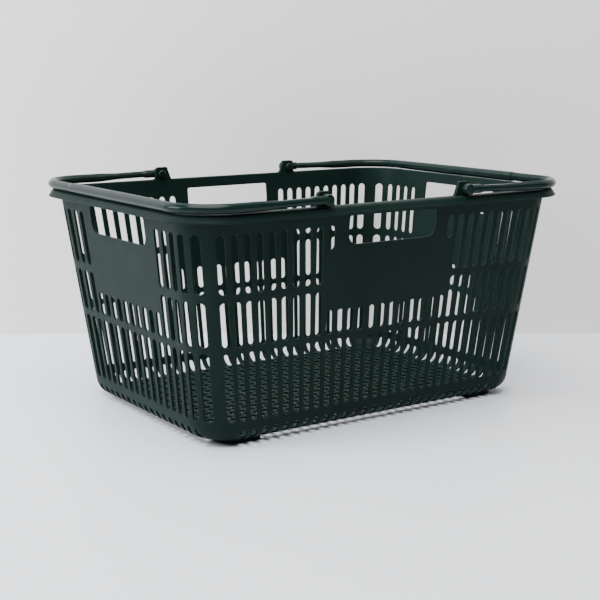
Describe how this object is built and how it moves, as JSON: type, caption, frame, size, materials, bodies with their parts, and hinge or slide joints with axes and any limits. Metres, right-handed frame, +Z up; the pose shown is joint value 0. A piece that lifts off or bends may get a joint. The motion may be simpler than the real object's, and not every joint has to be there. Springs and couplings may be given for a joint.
{
  "type": "shopping basket",
  "caption": "Tapered plastic shopping basket with slotted walls, hand holes, a flared rim, a grid floor and folding bail handles resting on the rim.",
  "frame": {"origin": "on the floor, under the middle of the basket", "axes": "+Z up, +X along the long walls, +Y across the basket towards the back wall"},
  "size_m": [0.49, 0.356, 0.2505],
  "materials": {
    "tub_plastic": "dark green moulded polypropylene, satin to gloss, fine scuffs",
    "handle_plastic": "dark green moulded polypropylene, glossier than the tub"
  },
  "bodies": {
    "tub": {"floor_grid": "tub_plastic", "front_wall": "tub_plastic", "back_wall": "tub_plastic", "left_wall": "tub_plastic", "right_wall": "tub_plastic", "front_rim": "tub_plastic", "back_rim": "tub_plastic", "left_rim": "tub_plastic", "right_rim": "tub_plastic", "long_panel_front_left": "tub_plastic", "long_panel_back_left": "tub_plastic", "long_panel_front_right": "tub_plastic", "long_panel_back_right": "tub_plastic", "end_panel_front_left": "tub_plastic", "end_panel_back_left": "tub_plastic", "end_panel_front_right": "tub_plastic", "end_panel_back_right": "tub_plastic", "corner_post_front_left": "tub_plastic", "corner_post_back_left": "tub_plastic", "corner_post_front_right": "tub_plastic", "corner_post_back_right": "tub_plastic", "rim_corner_front_left": "tub_plastic", "rim_corner_back_left": "tub_plastic", "rim_corner_front_right": "tub_plastic", "rim_corner_back_right": "tub_plastic", "foot_front_left": "tub_plastic", "foot_back_left": "tub_plastic", "foot_front_right": "tub_plastic", "foot_back_right": "tub_plastic", "ear_front_left": "tub_plastic", "ear_back_left": "tub_plastic", "ear_front_right": "tub_plastic", "ear_back_right": "tub_plastic"},
    "left_handle": {"left_grip": "handle_plastic", "handle_leg_front_left": "handle_plastic", "handle_leg_back_left": "handle_plastic", "handle_bend_front_left": "handle_plastic", "handle_bend_back_left": "handle_plastic", "handle_stud_front_left": "handle_plastic", "handle_stud_back_left": "handle_plastic"},
    "right_handle": {"right_grip": "handle_plastic", "handle_leg_front_right": "handle_plastic", "handle_leg_back_right": "handle_plastic", "handle_bend_front_right": "handle_plastic", "handle_bend_back_right": "handle_plastic", "handle_stud_front_right": "handle_plastic", "handle_stud_back_right": "handle_plastic"}
  },
  "joints": [
    {"name": "left_handle_pivot", "type": "hinge", "parent": "tub", "child": "left_handle", "pos_m": [-0.09, 0, 0.2425], "axis": [0, 1, 0], "range_deg": [0, 122]},
    {"name": "right_handle_pivot", "type": "hinge", "parent": "tub", "child": "right_handle", "pos_m": [0.09, 0, 0.2425], "axis": [0, -1, 0], "range_deg": [0, 122]}
  ]
}
